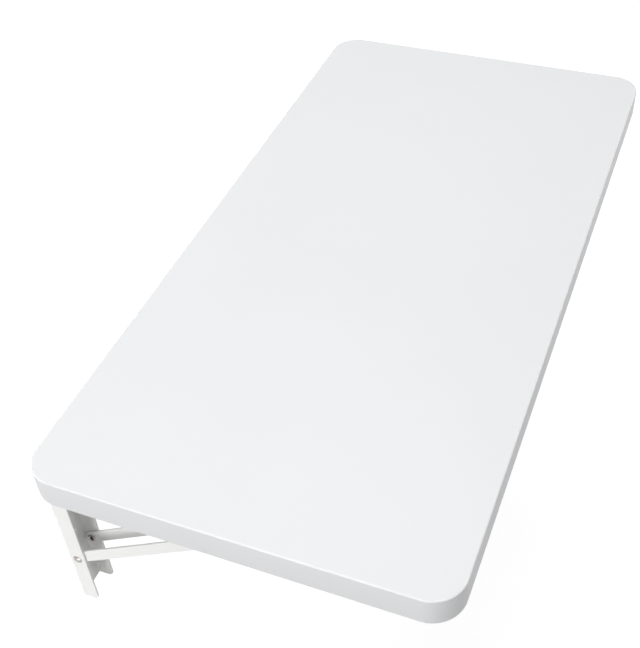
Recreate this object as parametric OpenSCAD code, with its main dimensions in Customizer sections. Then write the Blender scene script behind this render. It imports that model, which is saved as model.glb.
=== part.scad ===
// Wall-mounted folding table: a white board on two folding steel brackets.
// X runs along the wall, +Y points into the wall and +Z is up. The wall is the plane y = 0.
// The origin is the centre of the four outer wall screw holes, on the wall.
// The table is drawn open. "Left" is the -X side, as seen by someone who faces the wall.

/* [Table top] */
// Length of the board along the wall
top_len = 800; // [600:10:1200]
// Depth of the board from its rear edge to its front edge
top_depth = 400; // [390:5:600]
// Thickness of the board
top_thick = 32; // [20:1:40]
// Radius of the board's corners, seen from above
top_corner_r = 31; // [10:1:80]
// Radius of the soft edge between the board's faces and its sides
top_edge_r = 1.5; // [0.5:0.5:6]
// Gap between the board's rear edge and the wall
top_wall_gap = 2; // [1:0.5:5]

/* [Wall rails] */
// Distance from the board's short side to the rail's outer face
bracket_inset = 24; // [15:1:120]
// Width of the rail, over both flanges
rail_w = 32; // [30:1:44]
// Depth of the rail, from the wall to the front of its flanges
rail_depth = 19; // [18:0.5:24]
// Thickness of the rail's steel
rail_t = 2; // [1.5:0.1:2.5]
// Outer radius of the rail's bends
rail_bend_r = 3; // [3:0.5:6]
// Radius of the flanges' lower front corners
rail_corner_r = 7; // [2:0.5:10]
// Distance from the wall to the hinge pin
hinge_from_wall = 10.6; // [10:0.1:13]
// Diameter of the wall screw holes
wall_hole_d = 5.5; // [4:0.5:7]
// Distance from the hinge pin down to the top wall screw hole
top_hole_drop = 26; // [20:1:40]
// Distance from the middle wall screw hole down to the strut pivot
mid_hole_rise = 22; // [14:1:40]
// Distance from the rail's lower end up to the bottom wall screw hole
low_hole_rise = 20; // [12:1:40]

/* [Arms] */
// Thickness of the arm's steel
arm_t = 2; // [1.5:0.1:2.5]
// Outer radius of the arm's bends
arm_bend_r = 3; // [2.6:0.1:5]
// Length of arm beyond the far end of the strut's travel
arm_end = 18; // [14:1:40]
// Radius of the arm's lower tip corners
arm_tip_r = 11; // [3:1:13]
// Length of the arm's web behind the hinge pin
arm_tail = 3; // [1:0.5:6]
// Number of screws that hold each arm to the board
screw_count = 4; // [3:1:6]
// Distance from the hinge pin to the first of these screws
first_screw_reach = 36; // [20:1:60]
// Distance from the arm's tip to the last of these screws
last_screw_back = 14; // [10:1:40]

/* [Struts] */
// Thickness of a strut bar
strut_t = 2; // [1.5:0.1:3]
// Width of a strut bar
strut_w = 14; // [12:0.5:15]
// Distance from the hinge pin down to the strut pivot
strut_drop = 118; // [95:1:140]
// Distance from the hinge pin out to the sliding pin when the table is locked open
lock_reach = 188; // [165:1:210]

/* [Pins and rivets] */
// Diameter of the hinge pins, the strut rivets and the sliding pins
pin_d = 5; // [4:0.5:5.5]
// Diameter of the rivets' round heads
rivet_head_d = 10; // [7:0.5:11]
// Height of the rivets' round heads
rivet_head_h = 2.2; // [1:0.1:2.5]
// Diameter of the rolled inner end of a strut rivet
rolled_end_d = 8; // [6.4:0.2:8]
// Width of the rolled rim round the mouth of the hollow
rolled_rim_w = 1; // [0.6:0.1:1.4]
// Diameter of the hollow in the rolled inner end
hollow_d = 3.8; // [2:0.2:3.8]
// Depth of the hollow
hollow_depth = 4; // [2:0.5:5]
// Diameter of the nylon washers at the hinge pin
washer_d = 11; // [8:0.5:13]
// Diameter of the screws' threads
screw_d = 3.5; // [3:0.1:4.5]
// Length of the screws under their heads
screw_len = 16; // [12:1:18]
// Diameter of the screws' pan heads
screw_head_d = 7; // [6:0.5:8]
// Height of the screws' pan heads
screw_head_h = 2.2; // [1.5:0.1:3]

/* [Release levers] */
// Thickness of the lever's steel
lever_t = 1.5; // [1:0.1:1.8]
// Distance from the locked sliding pin out to the lever's pivot
lever_back = 21; // [18:1:28]
// Distance from the slot's middle line down to the lever's pivot
lever_drop = 6.9; // [6.4:0.1:7.4]
// Diameter of the lever's pivot pin
lever_pin_d = 4; // [3:0.5:4]
// Diameter of the lever pin's low heads
lever_head_d = 6; // [5:0.5:6.5]
// Height of the lever pin's low heads
lever_head_h = 0.6; // [0.4:0.1:0.7]
// Length of the finger tab from the lever's pivot to its tip
tab_len = 45; // [38:1:55]
// Angle by which the finger tab slopes down
tab_slope = 18; // [12:1:20]
// Angle by which the tab's tip curls up
tab_curl = 30; // [10:5:35]
// Wire diameter of the lever's spring
wire_d = 1; // [0.7:0.1:1.1]
// Number of whole curls in the lever's spring
spring_curls = 5; // [3:1:6]
// Distance between neighbouring curls, middle to middle
spring_pitch = 1.6; // [1.55:0.05:1.8]

/* [Clearances] */
// Radial clearance of a pin in its hole
pin_clear = 0.05; // [0.02:0.01:0.1]
// Radial clearance of a sliding pin in its slot
slot_clear = 0.1; // [0.05:0.01:0.1]
// Gap between a rail flange and the strut bar beside it
rail_gap = 0.4; // [0.3:0.1:0.8]
// Gap between a strut bar and the arm flange beside it
strut_gap = 1; // [0.9:0.1:1.4]
// Gap between the folded arm and the web of the rail
nest_clear = 0.4; // [0.3:0.1:0.8]
// Gap between a strut bar's round end and the board above it
strut_clear = 0.6; // [0.4:0.1:0.8]
// Gap between the rail's front and the underside of the folded board
fold_clear = 1.2; // [0.8:0.1:2]
// Gap between the folded arm's latch nose and the rail's lower end
rail_end_clear = 2; // [1.5:0.5:6]
// Side gap of the release lever inside the arm
lever_gap = 0.3; // [0.3:0.1:0.5]
// End gap of the washers, and of a rivet's rolled end
washer_clear = 0.1; // [0.05:0.05:0.2]
// Gap between the end of a sliding pin's stud and the strut bar beside it
stud_gap = 0.3; // [0.1:0.1:0.5]
// Radial clearance of a screw in the arm's web
screw_clear = 0.3; // [0.1:0.1:0.5]

/* [Hidden] */
$fn = 48;
// How far a cutting shape runs past the solid that it cuts
over = 1;
LEFT = -1;
RIGHT = 1;
pin_r = pin_d / 2;
hole_r = pin_r + pin_clear;
slot_r = pin_r + slot_clear;
strut_r = strut_w / 2;
// Half widths of the pieces of a bracket, from the outside in
rail_half = rail_w / 2;
rail_in = rail_half - rail_t;
bar_out = rail_in - rail_gap;
bar_in = bar_out - strut_t;
arm_half = bar_in - strut_gap;
arm_in = arm_half - arm_t;
lever_half = arm_in - lever_gap;
lever_in = lever_half - lever_t;
bracket_x = top_len / 2 - bracket_inset - rail_half;
// Places around the hinge pin, in the side view
ear_r = rail_depth - hinge_from_wall;
hinge_below_top = ear_r + fold_clear;
arm_r = hinge_from_wall - rail_t - nest_clear;
arm_h = hinge_below_top + arm_r;
// The strut's round end turns just in front of the rail's bends
strut_from_wall = rail_bend_r + strut_r;
slot_lift = hinge_below_top - strut_r - strut_clear;
slot_ease = 0.2;
// The strut: its pivot stands foot_in nearer the wall than the hinge pin does
foot_in = hinge_from_wall - strut_from_wall;
strut_run = lock_reach + foot_in;
strut_rise = strut_drop + slot_lift;
strut_len = norm([strut_run, strut_rise]);
strut_angle = atan2(strut_rise, strut_run);
fold_off = slot_lift + foot_in;
fold_reach = strut_drop + sqrt(strut_len * strut_len - fold_off * fold_off);
arm_reach = fold_reach + arm_end;
rail_drop = lock_reach - rail_end_clear;
low_hole_drop = rail_drop - low_hole_rise;
mid_hole_drop = strut_drop - mid_hole_rise;
// Heights and places in the row frame
hinge_y = -hinge_from_wall;
hinge_z = (top_hole_drop + low_hole_drop) / 2;
under_z = hinge_z + hinge_below_top;
foot_z = hinge_z - strut_drop;
rail_bottom = hinge_z - rail_drop;
// The slit lets the rolled rivet end into the folded arm's flange
slit_clear = 0.8;
slit_w = rolled_end_d + 2 * slit_clear;
slit_top = rolled_end_d / 2 + slit_clear - foot_in;
rolled_more = 0.4;
rolled_end_h = strut_gap + rolled_more;
rolled_edge_r = 0.5;
flare_depth = 1.2;
// The release lever, in a frame with its origin at the lever's pivot
lever_reach = lock_reach + lever_back;
lever_v = slot_lift - lever_drop;
nose_gap = 0.3;
boss_r = lever_drop - pin_r - nose_gap;
nose_r = norm([lever_back - pin_r - nose_gap, lever_drop]);
nose_over = 0.5;
nose_top = lever_drop + slot_r + nose_over;
nose_low = 2.2;
nose_steps = 8;
nose_back = 2.5;
waist = boss_r - 0.4;
wire_r = wire_d / 2;
coil_clear = 0.8;
wire_clear = 0.15;
coil_r = lever_pin_d / 2 + wire_r + coil_clear;
plate_top = -(coil_r + wire_r + wire_clear);
plate_low = plate_top - lever_t;
cheek_len = 30;
cheek_edge = 2.5;
tab_root = 5;
plate_inset = 0.5;
plate_lap = 2;
tab_w = 2 * (lever_half - lever_t);
tip_r = tab_w / 2 - 1;
curl_r = 14;
curl_steps = 8;
// The lever's spring: rings per curl, sides of the wire and lengths of its two legs
rings = 8;
sides = 6;
web_under = hinge_below_top - arm_t - lever_v;
leg_angle = 60;
leg_up = (web_under - wire_r - wire_clear - coil_r * cos(leg_angle)) / sin(leg_angle);
leg_down = 15;
spring_from = leg_angle + 90;
spring_to = 360 * spring_curls - 90 - tab_slope;
spring_run = spring_to - spring_from;
spring_w = spring_run / 360 * spring_pitch;
screw_point = 0.2;
pilot_more = 0.5;
screw_tip = 3;
recess_w = 0.9;
recess_len = 3.6;
recess_depth = 1.2;
washer_t = rail_in - arm_half - 2 * washer_clear;

// Colours
BOARD = [0.96, 0.96, 0.97];
STEEL = [0.94, 0.94, 0.93];
NICKEL = [0.80, 0.78, 0.76];
ZINC = [0.72, 0.73, 0.75];
NYLON = [0.90, 0.89, 0.85];
SPRING = [0.45, 0.45, 0.47];

// Frames

// Moves a bracket to its end of the table; the right one is the left one mirrored
module bracket(side) {
    translate([side * bracket_x, 0, 0]) mirror([side == LEFT ? 0 : 1, 0, 0]) children();
}

// Both of a mirrored pair across a bracket
module both() {
    children();
    mirror([1, 0, 0]) children();
}

// Stands a side view up as a plate from x to x + t; the view's axes become Y and Z
module side_plate(x, t) {
    translate([x, 0, 0]) rotate([90, 0, 90]) linear_extrude(t) children();
}

// Side view with its origin at the hinge pin, first axis out from the wall, second up
module arm_view() {
    translate([hinge_y, hinge_z]) mirror([1, 0]) children();
}

// Side view with its origin at the lever's pivot, first axis out from the wall
module lever_view() {
    arm_view() translate([lever_reach, lever_v]) children();
}

// Moves a piece that lies across the bracket, along X, to a place out and up from the hinge
module across(out, up) {
    translate([0, hinge_y - out, hinge_z + up]) rotate([0, 90, 0]) children();
}

// Shapes that repeat

// Rectangle on the line y = 0 with its two upper corners rounded
module arch(w, h, r) {
    translate([-w / 2, 0]) square([w, h - r]);
    translate([-w / 2 + r, 0]) square([w - 2 * r, h]);
    translate([-w / 2 + r, h - r]) circle(r);
    translate([w / 2 - r, h - r]) circle(r);
}

// Section of a bent channel that opens downwards
module channel(w, h, t, r) {
    difference() {
        arch(w, h, r);
        translate([0, -over]) arch(w - 2 * t, h - t + over, r - t);
    }
}

// Round hole along X through both flanges of a channel
module cross_hole(r, half) {
    translate([0, 0, -half - over]) cylinder(r = r, h = 2 * (half + over));
}

// Low domed rivet head with its flat face on z = 0
module dome(d, h) {
    dome_r = (d * d / 4 + h * h) / (2 * h);
    rotate_extrude() intersection() {
        translate([0, h - dome_r]) circle(dome_r, $fn = 96);
        square([d / 2, h]);
    }
}

// Wall rails

// Outline of the rail from the side
module rail_outline() {
    low_z = rail_bottom + rail_corner_r;
    translate([-rail_depth, low_z]) square([rail_depth + over, hinge_z - low_z]);
    translate([-rail_depth + rail_corner_r, rail_bottom])
        square([rail_depth - rail_corner_r + over, rail_corner_r]);
    translate([-rail_depth + rail_corner_r, low_z]) circle(rail_corner_r);
    translate([hinge_y, hinge_z]) circle(ear_r);
    translate([hinge_y, hinge_z]) square([hinge_from_wall + over, ear_r]);
}

module rail(side) {
    color(STEEL) bracket(side) difference() {
        intersection() {
            translate([0, -rail_depth, rail_bottom - over])
                linear_extrude(rail_drop + ear_r + 2 * over)
                    channel(rail_w, rail_depth, rail_t, rail_bend_r);
            side_plate(-rail_half - over, rail_w + 2 * over) rail_outline();
        }
        across(0, 0) cross_hole(hole_r, rail_half);
        across(-foot_in, -strut_drop) cross_hole(hole_r, rail_half);
        for (drop = [top_hole_drop, mid_hole_drop, low_hole_drop])
            translate([0, over, hinge_z - drop]) rotate([90, 0, 0])
                cylinder(d = wall_hole_d, h = rail_t + 2 * over);
    }
}

// Hinge pin through the rail's ears and the arm, with a round head at each end
module hinge_pin(side) {
    color(NICKEL) bracket(side) across(0, 0) {
        translate([0, 0, -rail_half]) cylinder(r = pin_r, h = rail_w);
        both_ends(rail_half) dome(rivet_head_d, rivet_head_h);
    }
}

// Puts a piece on each end of a pin that reaches half either way along Z
module both_ends(half) {
    translate([0, 0, half]) children();
    mirror([0, 0, 1]) translate([0, 0, half]) children();
}

// Nylon washers that fill the space between the arm and the rail's ears
module hinge_washers(side) {
    color(NYLON) bracket(side) across(0, 0) both_ends(arm_half + washer_clear)
        difference() {
            cylinder(d = washer_d, h = washer_t);
            translate([0, 0, -over]) cylinder(r = hole_r, h = washer_t + 2 * over);
        }
}

// Half section of a strut rivet: domed outside and rolled over a flared hollow end inside.
// Its length runs along the second axis, with 0 at the rail's outer face.
module foot_rivet_shank() {
    shank_len = rail_half - bar_in + washer_clear;
    end_len = shank_len + rolled_end_h;
    mouth_r = rolled_end_d / 2 - rolled_rim_w;
    rotate_extrude() difference() {
        union() {
            translate([0, -end_len + rolled_edge_r]) square([pin_r, end_len - rolled_edge_r]);
            translate([0, -end_len + rolled_edge_r])
                square([rolled_end_d / 2, rolled_end_h - rolled_edge_r]);
            translate([0, -end_len]) square([rolled_end_d / 2 - rolled_edge_r, 2 * rolled_edge_r]);
            translate([rolled_end_d / 2 - rolled_edge_r, -end_len + rolled_edge_r])
                circle(rolled_edge_r, $fn = 24);
        }
        translate([-over, -end_len - over]) square([hollow_d / 2 + over, hollow_depth + over]);
        polygon([[-over, -end_len - over], [mouth_r, -end_len - over], [mouth_r, -end_len],
            [hollow_d / 2, -end_len + flare_depth], [-over, -end_len + flare_depth]]);
    }
}

module strut_foot_rivets(side) {
    color(NICKEL) bracket(side) across(-foot_in, -strut_drop) both_ends(rail_half) {
        dome(rivet_head_d, rivet_head_h);
        foot_rivet_shank();
    }
}

// Table top

// Round slab with a soft upper and lower edge: one corner of the board
module corner_puck() {
    r = top_corner_r - top_edge_r;
    rotate_extrude($fn = 64) {
        square([r, top_thick]);
        translate([0, top_edge_r]) square([top_corner_r, top_thick - 2 * top_edge_r]);
        for (z = [top_edge_r, top_thick - top_edge_r])
            intersection() {
                translate([r, z]) circle(top_edge_r, $fn = 24);
                square([top_corner_r, top_thick]);
            }
    }
}

module tabletop() {
    x = top_len / 2 - top_corner_r;
    color(BOARD) difference() {
        translate([0, -top_wall_gap, under_z]) hull() {
            for (side = [LEFT, RIGHT], y = [-top_corner_r, -top_depth + top_corner_r])
                translate([side * x, y, 0]) corner_puck();
        }
        for (side = [LEFT, RIGHT])
            bracket(side) at_screws()
                cylinder(d = screw_d + 2 * pin_clear, h = screw_len - arm_t + pilot_more);
    }
}

// Places of the screws along an arm, at the underside of the board
module at_screws() {
    run = arm_reach - last_screw_back - first_screw_reach;
    for (i = [0 : screw_count - 1])
        translate([0, hinge_y - first_screw_reach - run * i / (screw_count - 1), under_z])
            children();
}

// Arms

// Outline of the arm from the side, with its rear end round the hinge pin
module arm_outline() {
    top = hinge_below_top + over;
    circle(arm_r);
    translate([-arm_tail, 0]) square([arm_tail, top]);
    translate([0, -arm_r]) square([arm_reach - arm_tip_r, arm_r + top]);
    translate([arm_reach - arm_tip_r, arm_tip_r - arm_r]) {
        circle(arm_tip_r);
        square([arm_tip_r, top - arm_tip_r + arm_r]);
    }
}

// The slot of the sliding pin, a little longer than its travel
module slot_outline() {
    run = fold_reach - lock_reach + 2 * slot_ease;
    translate([lock_reach - slot_ease, slot_lift]) {
        circle(slot_r);
        translate([0, -slot_r]) square([run, 2 * slot_r]);
        translate([run, 0]) circle(slot_r);
    }
}

// The slit in the lower edge that passes over the strut's rivets
module slit_outline() {
    translate([strut_drop - slit_w / 2, -arm_r - over])
        square([slit_w, arm_r + over + slit_top - slit_w / 2]);
    translate([strut_drop, slit_top - slit_w / 2]) circle(slit_w / 2);
}

module arm(side) {
    color(STEEL) bracket(side) difference() {
        intersection() {
            translate([0, hinge_y + arm_tail + arm_r, hinge_z - arm_r]) rotate([90, 0, 0])
                linear_extrude(arm_reach + arm_tail + arm_r + over)
                    channel(2 * arm_half, arm_h, arm_t, arm_bend_r);
            side_plate(-arm_half - over, 2 * (arm_half + over)) arm_view() arm_outline();
        }
        side_plate(-arm_half - over, 2 * (arm_half + over)) arm_view() {
            slot_outline();
            slit_outline();
        }
        across(0, 0) cross_hole(hole_r, arm_half);
        across(lever_reach, lever_v) cross_hole(lever_pin_d / 2 + pin_clear, arm_half);
        at_screws() translate([0, 0, -arm_t - over])
            cylinder(d = screw_d + 2 * screw_clear, h = arm_t + 2 * over);
    }
}

// Pan head wood screw, point up, with its head under the arm's web
module arm_screw() {
    core_r = screw_d / 2;
    translate([0, 0, -arm_t]) difference() {
        union() {
            cylinder(r = core_r, h = screw_len - screw_tip);
            translate([0, 0, screw_len - screw_tip])
                cylinder(r1 = core_r, r2 = core_r * screw_point, h = screw_tip);
            mirror([0, 0, 1]) dome(screw_head_d, screw_head_h);
        }
        for (turn = [0, 90])
            rotate([0, 0, turn])
                translate([-recess_len / 2, -recess_w / 2, -screw_head_h - over])
                    cube([recess_len, recess_w, recess_depth + over]);
    }
}

module arm_screws(side) {
    color(ZINC) bracket(side) at_screws() arm_screw();
}

// Struts

// Flat bar with round ends, from the strut pivot up to the sliding pin
module strut_outline() {
    translate([-strut_from_wall, foot_z]) mirror([1, 0]) rotate(strut_angle)
        difference() {
            union() {
                circle(strut_r);
                translate([0, -strut_r]) square([strut_len, strut_w]);
                translate([strut_len, 0]) circle(strut_r);
            }
            circle(hole_r);
            translate([strut_len, 0]) circle(hole_r);
        }
}

module strut_bar(side, x) {
    color(STEEL) bracket(side) side_plate(x, strut_t) strut_outline();
}

// Rivet ends on the outside of the bars, which hold the sliding pin
module strut_head_rivets(side) {
    color(NICKEL) bracket(side) across(lock_reach, slot_lift) both_ends(bar_out) {
        dome(rivet_head_d, rivet_head_h);
        translate([0, 0, -strut_t]) cylinder(r = pin_r, h = strut_t);
    }
}

// The sliding pin where it runs in the slots of the arm's flanges
module slide_studs(side) {
    color(NICKEL) bracket(side) across(lock_reach, slot_lift) both_ends(arm_in)
        cylinder(r = pin_r, h = bar_in - stud_gap - arm_in);
}

// Release levers

// Nose of the lever: its face is an arc about the lever's pivot, so it lets go cleanly
function nose_point(i) =
    let (w = nose_top + (nose_low - nose_top) * i / nose_steps)
    [-sqrt(nose_r * nose_r - w * w), w];

module cheek_outline() {
    tip = nose_point(0);
    face = [for (i = [0 : nose_steps]) nose_point(i)];
    polygon(concat([[over, 0], [-over, waist], [-2 * boss_r, 0.8 * boss_r],
        [tip[0] + nose_back, nose_top]], face, [[-over, -waist]]));
    circle(boss_r);
    rotate(-tab_slope)
        polygon([[-over, 0], [over, waist], [tab_root, 0.6 * boss_r],
            [cheek_len, plate_top + cheek_edge], [cheek_len, plate_low], [tab_root, plate_low],
            [over, -waist]]);
}

// Point of the curled end of the tab, on an arc of radius r about the curl's middle
function curl_point(r, i) =
    let (a = tab_curl * i / curl_steps)
    [tab_len - (curl_r + lever_t) * sin(tab_curl) + r * sin(a), plate_top + curl_r - r * cos(a)];

// Side view of the finger tab past the cheeks, curled up at its tip
module tab_outline() {
    low = [for (i = [0 : curl_steps]) curl_point(curl_r + lever_t, i)];
    high = [for (i = [curl_steps : -1 : 0]) curl_point(curl_r, i)];
    root = cheek_len - plate_lap;
    polygon(concat([[root, plate_top], [root, plate_low]], low, high));
}

// Bent plate that joins the cheeks and runs out as the finger tab, which has a round tip
module tab_plate() {
    plate_w = 2 * (lever_half - plate_inset);
    side_plate(-plate_w / 2, plate_w) lever_view() rotate(-tab_slope)
        translate([tab_root + over, plate_low])
            square([cheek_len - tab_root - 2 * over, lever_t]);
    intersection() {
        side_plate(-tab_w / 2, tab_w) lever_view() rotate(-tab_slope) tab_outline();
        translate([0, hinge_y - lever_reach, hinge_z + lever_v]) rotate([tab_slope, 0, 0])
            mirror([0, 1, 0]) translate([0, 0, -tab_len / 2]) linear_extrude(tab_len)
                arch(tab_w, tab_len, tip_r);
    }
}

module release_lever(side) {
    color(STEEL) bracket(side) difference() {
        union() {
            both() side_plate(lever_in, lever_t) lever_view() cheek_outline();
            tab_plate();
        }
        across(lever_reach, lever_v) cross_hole(lever_pin_d / 2 + pin_clear, lever_half);
    }
}

// Pin of the lever, with low heads that the strut bars pass over
module lever_pin(side) {
    color(NICKEL) bracket(side) across(lever_reach, lever_v) {
        translate([0, 0, -arm_half]) cylinder(d = lever_pin_d, h = 2 * arm_half);
        both_ends(arm_half) dome(lever_head_d, lever_head_h);
    }
}

// Torsion spring round the lever's pin: one unbroken wire with a straight leg at each end.
// A ring of the wire is given by its middle and by the angle of its outward direction.
spring_steps = ceil(spring_run / 360 * rings);
function coil_angle(i) = spring_from + spring_run * i / spring_steps;
function coil_x(i) = -spring_w / 2 + spring_w * i / spring_steps;
function coil_middle(i) =
    [coil_x(i), coil_r * cos(coil_angle(i)), coil_r * sin(coil_angle(i))];
function along(a) = [0, -sin(a), cos(a)];
spring_path = concat(
    [[coil_middle(0) - leg_up * along(spring_from), spring_from]],
    [for (i = [0 : spring_steps]) [coil_middle(i), coil_angle(i)]],
    [[coil_middle(spring_steps) + leg_down * along(spring_to), spring_to]]
);
function ring_point(p, k) =
    let (a = 360 * k / sides)
    p[0] + wire_r * [sin(a), cos(a) * cos(p[1]), cos(a) * sin(p[1])];

// Least gap between curls, measured on the wire's middle points one curl or more apart
coil_gap = min([
    for (i = [0 : spring_steps], j = [i + rings - 1 : spring_steps])
        norm(coil_middle(j) - coil_middle(i)) - wire_d
]);
echo(least_spring_gap = coil_gap);

module spring_wire() {
    n = len(spring_path);
    points = [for (p = spring_path, k = [0 : sides - 1]) ring_point(p, k)];
    walls = [
        for (i = [0 : n - 2], k = [0 : sides - 1], half = [0, 1])
            let (a = i * sides + k, b = i * sides + (k + 1) % sides)
            half == 0 ? [a, b, b + sides] : [a, b + sides, a + sides]
    ];
    first = [for (k = [1 : sides - 2]) [0, k + 1, k]];
    last = [for (k = [1 : sides - 2]) [0, k, k + 1] + (n - 1) * sides * [1, 1, 1]];
    polyhedron(points, concat(first, walls, last));
}

module lever_spring(side) {
    color(SPRING) bracket(side)
        translate([0, hinge_y - lever_reach, hinge_z + lever_v]) mirror([0, 1, 0])
            spring_wire();
}

// Sub-parts by name

module rail_left() { rail(LEFT); }
module rail_right() { rail(RIGHT); }
module hinge_pin_left() { hinge_pin(LEFT); }
module hinge_pin_right() { hinge_pin(RIGHT); }
module hinge_washers_left() { hinge_washers(LEFT); }
module hinge_washers_right() { hinge_washers(RIGHT); }
module strut_foot_rivets_left() { strut_foot_rivets(LEFT); }
module strut_foot_rivets_right() { strut_foot_rivets(RIGHT); }
module arm_left() { arm(LEFT); }
module arm_right() { arm(RIGHT); }
module arm_screws_left() { arm_screws(LEFT); }
module arm_screws_right() { arm_screws(RIGHT); }
module strut_outer_bar_left() { strut_bar(LEFT, -bar_out); }
module strut_outer_bar_right() { strut_bar(RIGHT, -bar_out); }
module strut_inner_bar_left() { strut_bar(LEFT, bar_in); }
module strut_inner_bar_right() { strut_bar(RIGHT, bar_in); }
module strut_head_rivets_left() { strut_head_rivets(LEFT); }
module strut_head_rivets_right() { strut_head_rivets(RIGHT); }
module slide_studs_left() { slide_studs(LEFT); }
module slide_studs_right() { slide_studs(RIGHT); }
module release_lever_left() { release_lever(LEFT); }
module release_lever_right() { release_lever(RIGHT); }
module lever_pin_left() { lever_pin(LEFT); }
module lever_pin_right() { lever_pin(RIGHT); }
module lever_spring_left() { lever_spring(LEFT); }
module lever_spring_right() { lever_spring(RIGHT); }

tabletop();
rail_left();
rail_right();
hinge_pin_left();
hinge_pin_right();
hinge_washers_left();
hinge_washers_right();
strut_foot_rivets_left();
strut_foot_rivets_right();
arm_left();
arm_right();
arm_screws_left();
arm_screws_right();
strut_outer_bar_left();
strut_outer_bar_right();
strut_inner_bar_left();
strut_inner_bar_right();
strut_head_rivets_left();
strut_head_rivets_right();
slide_studs_left();
slide_studs_right();
release_lever_left();
release_lever_right();
lever_pin_left();
lever_pin_right();
lever_spring_left();
lever_spring_right();
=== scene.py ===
import math

import bmesh
import bpy
from mathutils import Matrix, Vector


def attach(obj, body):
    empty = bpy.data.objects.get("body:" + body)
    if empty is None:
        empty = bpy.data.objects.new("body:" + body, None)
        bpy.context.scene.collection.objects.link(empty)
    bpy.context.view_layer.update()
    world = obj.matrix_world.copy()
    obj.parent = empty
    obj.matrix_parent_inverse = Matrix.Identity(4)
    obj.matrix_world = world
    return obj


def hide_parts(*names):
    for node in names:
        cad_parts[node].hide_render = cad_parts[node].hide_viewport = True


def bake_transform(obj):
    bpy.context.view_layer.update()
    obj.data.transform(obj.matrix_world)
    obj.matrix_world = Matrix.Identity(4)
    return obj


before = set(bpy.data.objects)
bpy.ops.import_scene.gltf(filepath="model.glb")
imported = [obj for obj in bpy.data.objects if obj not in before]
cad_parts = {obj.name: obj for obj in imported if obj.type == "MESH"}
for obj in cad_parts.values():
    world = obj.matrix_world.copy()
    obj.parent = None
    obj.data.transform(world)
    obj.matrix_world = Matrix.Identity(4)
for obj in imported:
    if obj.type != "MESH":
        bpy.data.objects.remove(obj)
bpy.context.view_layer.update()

# Camera: above the near left end of the board, looking down along it, as in the photograph.
# The focal length is in pixels of the 648 pixel long side, and 36 mm of sensor cover that side.
CAMERA_AT = Vector((-0.8272, -0.5042, 0.8607))
CAMERA_AIM = Vector((-0.1385, -0.1839, 0.1376))
CAMERA_ROLL = math.radians(-4.546)
FOCAL_PX = 1065.5
LONG_SIDE_PX = 648
SENSOR_MM = 36

camera = bpy.data.objects.new("camera", bpy.data.cameras.new("camera"))
bpy.context.scene.collection.objects.link(camera)
camera.data.sensor_width = SENSOR_MM
camera.data.lens = FOCAL_PX * SENSOR_MM / LONG_SIDE_PX
camera.rotation_mode = "QUATERNION"
level_view = (CAMERA_AIM - CAMERA_AT).to_track_quat("-Z", "Y").to_matrix()
camera.rotation_quaternion = (level_view @ Matrix.Rotation(CAMERA_ROLL, 3, "Z")).to_quaternion()
camera.location = CAMERA_AT
bpy.context.scene.camera = camera
bpy.context.scene.view_settings.view_transform = "Standard"


# Wall rails: two channels bent from 2 mm sheet steel, punched for the wall screws and the rivets,
# deburred at the edges and powder coated white. The coat has a fine orange peel.
MM = 0.001
SIDES = ("left", "right")
MERGE_WITHIN = 0.002 * MM
FLAT_BELOW = math.radians(0.4)
SMOOTH_BELOW = math.radians(35)
EDGE_ABOVE = math.radians(40)
FEATHER_ABOVE = math.radians(120)
EDGE_WIDTH = 0.35 * MM
EDGE_SEGMENTS = 2
COAT_CLOUDS = (22, 4)
COAT_SHADES = ((0.35, (0.96, 0.96, 0.945)), (0.65, (0.98, 0.98, 0.965)))
COAT_BLOTCHES = (60, 3)
COAT_ROUGH = (0.34, 0.46)
COAT_PEEL = (1100, 2)
PEEL_DEPTH = 0.03 * MM


def shader_of(name):
    """A new material, its tree and its principled shader."""
    material = bpy.data.materials.new(name)
    material.use_nodes = True
    return material, material.node_tree, material.node_tree.nodes["Principled BSDF"]


def object_place(tree):
    return tree.nodes.new("ShaderNodeTexCoord").outputs["Object"]


def noise(tree, per_metre, detail, roughness=0.5):
    """Noise on the object's own coordinates, with so many blotches to the metre."""
    texture = tree.nodes.new("ShaderNodeTexNoise")
    texture.inputs["Scale"].default_value = per_metre
    texture.inputs["Detail"].default_value = detail
    texture.inputs["Roughness"].default_value = roughness
    tree.links.new(object_place(tree), texture.inputs["Vector"])
    return texture.outputs["Fac"]


def ramp(tree, factor, stops):
    """Colours or greys at places from 0 to 1 along a factor."""
    node = tree.nodes.new("ShaderNodeValToRGB")
    elements = node.color_ramp.elements
    while len(elements) < len(stops):
        elements.new(0.5)
    for element, (at, colour) in zip(elements, stops):
        rgb = colour if isinstance(colour, tuple) else (colour,) * 3
        element.position = at
        element.color = (*rgb, 1)
    tree.links.new(factor, node.inputs["Fac"])
    return node.outputs["Color"]


def range_of(tree, factor, low, high, start=0.0, end=1.0):
    """A factor that runs from start to end, stretched to run from low to high."""
    node = tree.nodes.new("ShaderNodeMapRange")
    for label, value in (
        ("From Min", start), ("From Max", end), ("To Min", low), ("To Max", high),
    ):
        node.inputs[label].default_value = value
    tree.links.new(factor, node.inputs["Value"])
    return node.outputs["Result"]


def bump(tree, shader, height, depth, before=None):
    node = tree.nodes.new("ShaderNodeBump")
    node.inputs["Distance"].default_value = depth
    tree.links.new(height, node.inputs["Height"])
    if before is not None:
        tree.links.new(before, node.inputs["Normal"])
    tree.links.new(node.outputs["Normal"], shader.inputs["Normal"])
    return node.outputs["Normal"]


def mottled(name, clouds, shades, blotches, rough):
    """A material whose colour drifts between shades in clouds, and its roughness in blotches.

    Clouds and blotches are noise: how many to the metre, then its detail and its roughness.
    """
    material, tree, shader = shader_of(name)
    tree.links.new(ramp(tree, noise(tree, *clouds), shades), shader.inputs["Base Color"])
    tree.links.new(range_of(tree, noise(tree, *blotches), *rough), shader.inputs["Roughness"])
    return material, tree, shader


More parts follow.
